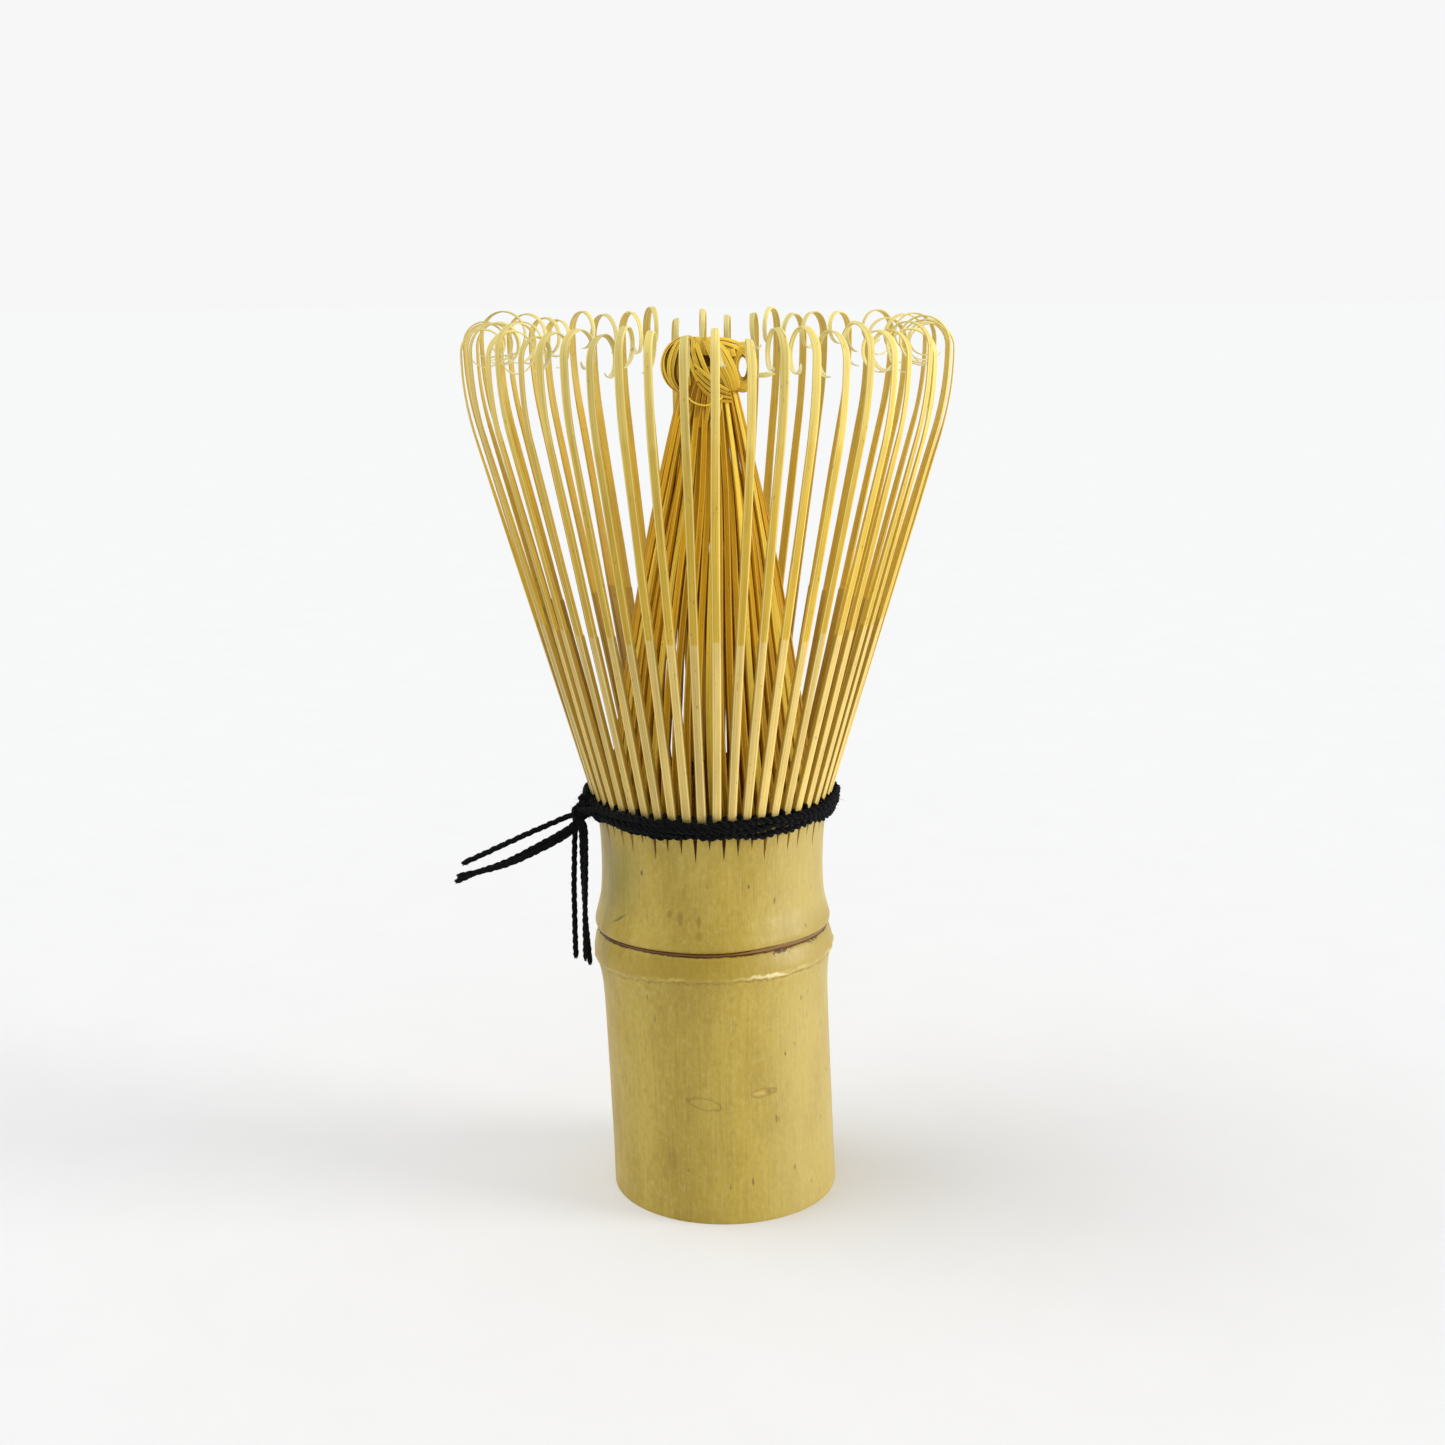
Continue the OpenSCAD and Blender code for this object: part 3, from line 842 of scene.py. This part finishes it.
    # the back, then in front: the stem, strips down the bun, and two sets of diagonals that cross the stem
    for k in range(8):
        x = -3.9 + 0.78 * k
        draped([(x, 107.0), (x + 0.6, 104.6), (x + 0.8, 102.2), (x + 0.7, 100.2)],
               0.05 * (k % 2), 0.72, (0.2, 0.95), 1)
    for k in range(8):
        x = -3.1 + 0.66 * k
        draped([(x - 0.5, 97.3), (x, 100.6), (x + 0.8 - 0.12 * k, 102.6), (x + 1.5 - 0.24 * k, 104.4)],
               0.05 * (k % 2), 0.54, (-0.1, 0.8))
    for k in range(3):
        draped([(-2.7 + 0.62 * k, 107.5), (-2.35 + 0.72 * k, 105.9), (-1.75 + 0.72 * k, 104.2 + 0.1 * k),
                (-1.1 + 0.7 * k, 102.7 + 0.2 * k)], 0.32 + 0.05 * k, 0.56, (0.55, 1.0))
    for k in range(4):
        x = 0.68 * k
        draped([(-0.5 + 0.5 * x, 107.6), (0.2 + 0.8 * x, 106.2 + 0.1 * k), (1.1 + 0.85 * x, 104.4 + 0.15 * k),
                (1.95 + 0.72 * x, 102.9 + 0.1 * k), (2.4 + 0.62 * x, 101.5)],
               0.3 + 0.06 * (k % 2), 0.58, (0.5, 1.0))
    for k in range(4):
        draped([(-1.5 + 0.1 * k, 104.7 - 0.72 * k), (-0.2, 103.5 - 0.7 * k), (1.1, 102.4 - 0.62 * k),
                (2.5 + 0.1 * k, 101.5 - 0.42 * k)], 0.55 - 0.1 * k, 0.46, (0.35, 1.0))

    # a loose strand in front and one tip that stands out
    loose = catmull([(-2.5, -4.25, 101.1), (-1.7, -4.5, 100.3), (-0.3, -4.6, 99.9), (1.0, -4.45, 100.3),
                     (1.8, -4.2, 100.9)], 8)
    strips.add(ribbon(loose, lambda p: Vector((0, -1, 0.2)), lambda s: 0.22, 0.12,
                      lambda s: AMBER_PALE), 500)
    leaf = catmull([(4.6, -1.6, 102.7), (5.8, -1.8, 103.1), (6.9, -2.0, 103.25), (8.0, -2.1, 103.35)], 8)
    strips.add(ribbon(leaf, lambda p: Vector((0, -1, 0.3)), lambda s: 0.14 + 0.5 * sin(PI * s ** 1.6), 0.1,
                      lambda s: CURL_PALE, flank=CURL_PALE), 501)
    strips.make("inner_tine_knot", inner_bamboo, "root", "inner_knot", "inner_bamboo")


knot()


# ---- the band and its knot ----


def lacing():
    threads = Threads(11)
    for k, (height, diameter) in enumerate([(50.32, 0.86), (51.12, 0.92), (51.95, 0.84)]):
        points = []
        for j in range(361):
            a = radians(j)
            wave = 0.14 * sin(7 * a + 2 * k) + 0.1 * sin(17 * a + k) + 0.06 * sin(29 * a)
            wave -= 0.16 * ease(-sin(a), 0.6, 1.0)
            points.append(band_point(j, height + wave, 0.28 + 0.08 * sin(11 * a + 3 * k)))
        line = threads.twisted(points, diameter, 2.1, step=0.24, closed=True, phase=k)
        threads.fuzz(line, diameter, 420, 0.6)
    # a lashing over the other strands, which thickens parts of the band
    for start, stop, low, high in (
        (228, 292, 51.0, 51.3), (300, 350, 51.9, 51.2), (20, 75, 51.5, 50.8), (100, 150, 51.0, 51.8),
    ):
        points = []
        for j in range(41):
            s = j / 40
            points.append(band_point(start + (stop - start) * s, low + (high - low) * s + 0.1 * sin(9 * s),
                                     0.62 * sin(PI * s) ** 0.4 - 0.1))
        line = threads.twisted(points, 0.7, 1.8)
        threads.fuzz(line, 0.7, 60)
    # the weave: the thread goes in between every two tines and out again
    for i in range(COUNT):
        angle = i * PITCH
        tall = 0.28 + 0.2 * uneven(i, 20)
        for low, high, depth in ((50.4, 52.25 + tall, 0.0), (51.3, 52.1 + tall * 0.7, -0.35)):
            points = [band_point(angle + shift, height, out + depth) for shift, height, out in (
                (-0.5, low, 0.15), (0, (low + high) / 2, 0.22), (0.4, high - 0.2, -0.12),
                (0.2, high, -0.5), (0, high - 0.25, -1.1))]
            threads.twisted(catmull(points, 6), 0.44, 1.0, step=0.16, phase=i)
    # inside, the thread runs round between the outer and the inner tines
    for height in (50.7, 51.4, 52.0):
        ring = [level(radians(j), 13.52, height + 0.08 * sin(radians(13 * j))) for j in range(361)]
        threads.twisted(ring, 0.5, 2.0, step=0.4, closed=True)

    # the knot: a few tight turns
    for shift, axis, big, small in (
        ((-0.1, 0.0, 0.1), (1, 0.4, 0.2), 0.95, 0.75),
        ((-0.45, -0.25, 0.0), (1, 0.3, -0.4), 0.85, 0.7),
        ((-0.2, -0.1, -0.1), (0.1, 1, 0.5), 0.8, 0.95),
        ((-0.4, 0.1, -0.3), (0.3, -0.2, 1), 0.9, 0.7),
        ((-0.5, -0.35, -0.5), (0.8, 0.7, -0.2), 0.6, 0.8),
        ((-0.15, 0.9, 1.0), (0.5, 1, 0.1), 0.45, 0.5),
        ((-0.1, 1.1, 1.1), (1, 0.2, 0.6), 0.5, 0.4),
    ):
        middle, axis, phase = THREAD_KNOT + Vector(shift), Vector(axis).normalized(), big * 5
        u = axis.orthogonal().normalized()
        v = axis.cross(u)
        points = [middle + u * cos(a) * big + v * sin(a) * small + axis * 0.18 * sin(2 * a + phase)
                  for a in (TAU * j / 40 for j in range(41))]
        threads.fuzz(threads.twisted(points, 0.62, 1.4, closed=True, phase=phase), 0.62, 40)
    threads.make("lacing_thread", "lacing")


lacing()


# ---- handle ----

NODE_Z, NODE_BEND, CAVITY_R, STUB_Z = 34.6, radians(2.3), 11.6, 50.3
OUTSIDE = [  # height and radius
    (0.0, 14.24), (0.25, 14.28), (3, 14.24), (6, 14.2), (13, 14.19), (20, 14.19), (25, 14.22), (27, 14.28),
    (28.4, 14.38), (29.6, 14.54), (30.5, 14.76), (31.1, 14.99), (31.5, 15.08), (32.0, 15.1), (32.7, 15.0),
    (33.4, 14.85), (33.9, 14.7), (34.3, 14.5), (34.7, 14.47), (35.0, 14.7), (35.4, 14.8), (35.9, 14.74),
    (36.8, 14.5), (38.0, 14.2), (39.2, 14.0), (41, 13.89), (43, 13.85), (46, 13.93), (48, 14.09),
    (50.3, 14.48),
]


def bell(x, middle, width):
    """1 at the middle, falling off smoothly within about twice the width."""
    return math.exp(-(((x - middle) / width) ** 2))


def wood_noise(angle, z, tight, flat):
    """Noise round the culm: tight sets how fine it is across, flat how fine along."""
    return noise.noise(Vector((cos(angle) * tight, sin(angle) * tight, z * flat)))


def node_shift(angle, z):
    """The node runs a little uphill towards the front, where it sits higher than at the back."""
    return (0.15 - 0.55 * sin(angle)) * ease(z, 24, 31) * ease(-z, -44, -37)


def crease_line(angle):
    """Height of the wavy crease line under the crest of the ring."""
    return NODE_Z - 3.5 + 0.22 * sin(3 * angle + 0.6) + 0.3 * wood_noise(angle, 2, 4, 1)


def groove_lines(angle):
    """Heights of the two lines of the groove at an angle in radians."""
    right = ease(cos(angle - radians(-42)), 0.75, 1.0)
    gap = 0.2 + 0.34 * (0.5 + 0.5 * cos(angle - radians(-85))) + 0.5 * right
    low = NODE_Z - 0.24 + 0.06 * sin(2 * angle + 1) + 0.04 * sin(5 * angle)
    return low, low + gap * 0.62


def relief(angle, z):
    """Small relief of the outside, in millimetres: the groove's lines, the wavy crease, the wood's growth."""
    low, high = groove_lines(angle)
    crease = crease_line(angle)
    rough = 1 + 1.2 * wood_noise(angle, z, 7, 0.8)
    out = -0.16 * bell(z, low, 0.1) - 0.18 * bell(z, high, 0.1)
    out += 0.13 * rough * bell(z, crease + 0.3, 0.3) - 0.13 * bell(z, crease - 0.22, 0.24)
    out += 0.05 * wood_noise(angle, z, 2.2, 0.06)
    return out + 0.015 * wood_noise(angle, z, 20, 0.1)


def tipped(point):
    """Bends the culm at its node: the part below leans, the part above stays true."""
    angle = math.atan2(point.y, point.x)
    lean = NODE_BEND * (1 - ease(point.z, 29.5, 38.5))
    x, z = point.x, point.z - NODE_Z + node_shift(angle, point.z)
    return Vector((x * cos(lean) - z * sin(lean), point.y, NODE_Z + x * sin(lean) + z * cos(lean)))


def untipped(point):
    """The point that tipped() moves here."""
    guess = point.copy()
    for _ in range(3):
        guess += point - tipped(guess)
    return guess


def culm():
    """Points and faces of the culm: the skin, the upper hollow, the node's wall and the lower hollow."""
    profile = catmull(OUTSIDE, 24)
    heights = [0.0, 0.12, 0.25, 0.5, 1.0]
    while heights[-1] < STUB_Z - 0.2:
        z = heights[-1]
        fine = 0.075 if 33.2 < z < 35.4 else 0.15 if 28.5 < z < 37 else 0.4
        heights.append(z + fine)
    heights[-1] = STUB_Z
    columns = COUNT * 8
    inside = [(STUB_Z, PIVOT_R - 0.66), (49.4, 13.58), (48.5, 13.46), (LEDGE_Z, INNER_ROOT_R + 0.15),
              (LEDGE_Z, 12.6), (LEDGE_Z, CAVITY_R), (45, CAVITY_R), (41, CAVITY_R - 0.05), (38.2, CAVITY_R),
              (37.2, CAVITY_R - 0.25), (36.3, CAVITY_R - 0.8), (35.75, CAVITY_R - 2), (35.55, 7), (35.5, 3)]
    below = [(32.4, 3), (32.35, 7), (32.1, CAVITY_R - 2), (31.4, CAVITY_R - 0.8), (30.5, CAVITY_R - 0.2),
             (29.2, CAVITY_R), (20, CAVITY_R - 0.03), (10, CAVITY_R + 0.03), (0.0, CAVITY_R + 0.02)]
    skin_loops = []
    for z in heights:
        k = min(range(len(profile)), key=lambda n: abs(profile[n][0] - z))
        n = min(len(profile) - 1, k + (1 if profile[k][0] < z else -1 if k else 0))
        (z0, r0), (z1, r1) = profile[k], profile[n]
        r = r0 + (r1 - r0) * (z - z0) / (z1 - z0) if z1 != z0 else r0
        skin_loops.append((z, r))
    verts, faces = [], []
    levels = skin_loops + inside + below
    for row, (z, r) in enumerate(levels):
        for c in range(columns):
            a, radius, height = TAU * c / columns, r, z
            if row < len(skin_loops):
                radius += relief(a, z) * ease(STUB_Z - z, 0.0, 1.5) * ease(z, 0.2, 1.5)
            if z < 6:
                foot = NODE_Z - (NODE_Z + radius * cos(a) * sin(NODE_BEND)) / cos(NODE_BEND)
                height = foot + z * (6 - foot) / 6
            verts.append(tipped(level(a, radius, height)))

    # skin down into the upper hollow; the node's wall closes it there and the lower hollow at its top
    ceiling = len(skin_loops + inside)
    for row in range(len(levels)):
        a, b = row * columns, (row + 1) % len(levels) * columns
        if row + 1 == ceiling:
            faces.append(tuple(range(a, b)))
            faces.append(tuple(range(b + columns - 1, b - 1, -1)))
        else:
            faces += [(a + c, a + (c + 1) % columns, b + (c + 1) % columns, b + c) for c in range(columns)]

    return verts, faces


def slits():
    """Points and faces of the wedges that part the roots of the tines."""
    wedges = Sweeps()
    half = PI * PIVOT_R / COUNT - TINE_W / 2
    for i in range(1, COUNT + 1):
        low = 47.3 + 0.9 * uneven(i, 1)
        a = radians(i * PITCH)
        radial, side = level(a), Vector((-sin(a), cos(a), 0))
        shape = [(0, low), (half * 0.34, low + 1.0), (half, STUB_Z + 0.05), (half, STUB_Z + 1),
                 (-half, STUB_Z + 1), (-half, STUB_Z + 0.05), (-half * 0.34, low + 1.0)]
        wedges.sweep([[radial * r + side * u + UP * z for u, z in shape] for r in (13.3, 15.9)])
    return wedges.verts, wedges.faces


def solid(name, verts, faces):
    """An object with all its faces turned outward."""
    mesh = bpy.data.meshes.new(name)
    mesh.from_pydata(verts, [], faces)
    bm = bmesh.new()
    bm.from_mesh(mesh)
    bmesh.ops.recalc_face_normals(bm, faces=bm.faces)
    bm.to_mesh(mesh)
    bm.free()
    return show(name, mesh)


def handle():
    whole, knife = solid("handle_body", *culm()), solid("slits", *slits())
    cut = whole.modifiers.new("slits", "BOOLEAN")
    cut.operation, cut.solver, cut.object = "DIFFERENCE", "EXACT", knife
    bpy.context.view_layer.update()
    done = bpy.data.meshes.new_from_object(whole.evaluated_get(bpy.context.evaluated_depsgraph_get()))
    for obj in (whole, knife):
        bpy.data.objects.remove(obj)

    masks = {key: [] for key in ("groove", "gap", "blotch", "above_crease", "yellow", "green")}
    for vertex in done.vertices:
        true = untipped(vertex.co)
        a, z = math.atan2(true.y, true.x), true.z
        low, high = groove_lines(a)
        line = crease_line(a)
        skin = 1.0 if math.hypot(true.x, true.y) > 13.2 else 0.0
        masks["groove"].append(max(-3.0, min(3.0, z - low)) if skin else 3.0)
        masks["gap"].append(high - low)
        masks["blotch"].append(bell(a, -radians(54), 0.1) + 0.7 * bell(a, -radians(32), 0.09))
        # distance above the crease line; the skin material paints highlight and shade along it
        masks["above_crease"].append(max(-3.0, min(3.0, z - line)) if skin else 3.0)
        cloud = wood_noise(a, z, 1.6, 0.12)
        ring = ease(z, line - 0.1, line + 0.7) * ease(-z, -low, -low + 0.5)
        above = ease(z, high, high + 0.5) * ease(-z, -39.0, -35.4) * ease(cloud, -0.1, 0.35)
        front = 0.25 + 0.45 * bell(a, -radians(97), 0.62) + 0.45 * cloud
        masks["yellow"].append(skin * min(1.0, front * ring + 0.5 * above))
        shade = ease(cos(a - radians(208)), 0.86, 0.99) * ease(z, 35.5, 39) * ease(-z, -49.5, -46)
        masks["green"].append(skin * 0.55 * shade * (0.6 + 0.4 * cloud))
    obj = piece("culm_handle", [v.co for v in done.vertices],
                [tuple(f.vertices) for f in done.polygons],
                [culm_skin, culm_cut], "root", "handle", "culm", 32, **masks)
    for face in obj.data.polygons:
        middle = face.center / MM
        r = math.hypot(middle.x, middle.y)
        outward = Vector((middle.x, middle.y, 0)).normalized().dot(face.normal)
        ends = abs(face.normal.z) > 0.8
        groove = 30 < middle.z < 38 and r > 13.5
        face.material_index = 0 if groove or outward > 0.5 and r > 12.3 and not ends else 1


handle()


# ---- floor and light ----


def stage():
    g = Graph("paper_floor", Roughness=1.0, Specular_IOR_Level=0.0)
    paper = g.noise(g.object_mm(), scale=0.08, detail=3)
    white, whiter = (0.843, 0.846, 0.850, 1), (0.853, 0.856, 0.860, 1)
    g.set("Base Color", g.mix(g.span(paper, 0.3, 0.7), white, whiter))
    size, cells = 6.0, 12  # metres, and squares along a side
    row = cells + 1
    verts = [(size * (x / cells - 0.5), size * (y / cells - 0.5), 0) for y in range(row) for x in range(row)]
    faces = [(j * row + k, j * row + k + 1, (j + 1) * row + k + 1, (j + 1) * row + k)
             for j in range(cells) for k in range(cells)]
    mesh = bpy.data.meshes.new("floor")
    mesh.from_pydata(verts, [], faces)
    mesh.materials.append(g.material)
    show("floor", mesh)

    world = bpy.data.worlds.new("studio")
    bpy.context.scene.world = world
    world.use_nodes = True
    nodes, links = world.node_tree.nodes, world.node_tree.links
    seen, lit = nodes["Background"], nodes.new("ShaderNodeBackground")
    seen.inputs[0].default_value = (0.93, 0.93, 0.93, 1)
    lit.inputs[0].default_value = (0.985, 1.0, 1.02, 1)
    lit.inputs[1].default_value = 0.66
    mix = nodes.new("ShaderNodeMixShader")
    links.new(nodes.new("ShaderNodeLightPath").outputs["Is Camera Ray"], mix.inputs[0])
    links.new(lit.outputs[0], mix.inputs[1])
    links.new(seen.outputs[0], mix.inputs[2])
    links.new(mix.outputs[0], nodes["World Output"].inputs[0])

    for name, turn, height, strength, width in (("key", -10, 12, 2.3, 30), ("fill", 182, 58, 1.08, 45)):
        lamp = bpy.data.lights.new(name, "SUN")
        lamp.energy = strength
        lamp.angle = radians(width)
        lamp.color = (1.02, 1.0, 0.975)
        sun = show(name, lamp)
        away = level(radians(turn), cos(radians(height)), sin(radians(height)))
        sun.rotation_mode = "QUATERNION"
        sun.rotation_quaternion = away.to_track_quat("Z", "Y")
    bpy.context.scene.view_settings.view_transform = "Standard"
    bpy.context.scene.view_settings.look = "None"


stage()
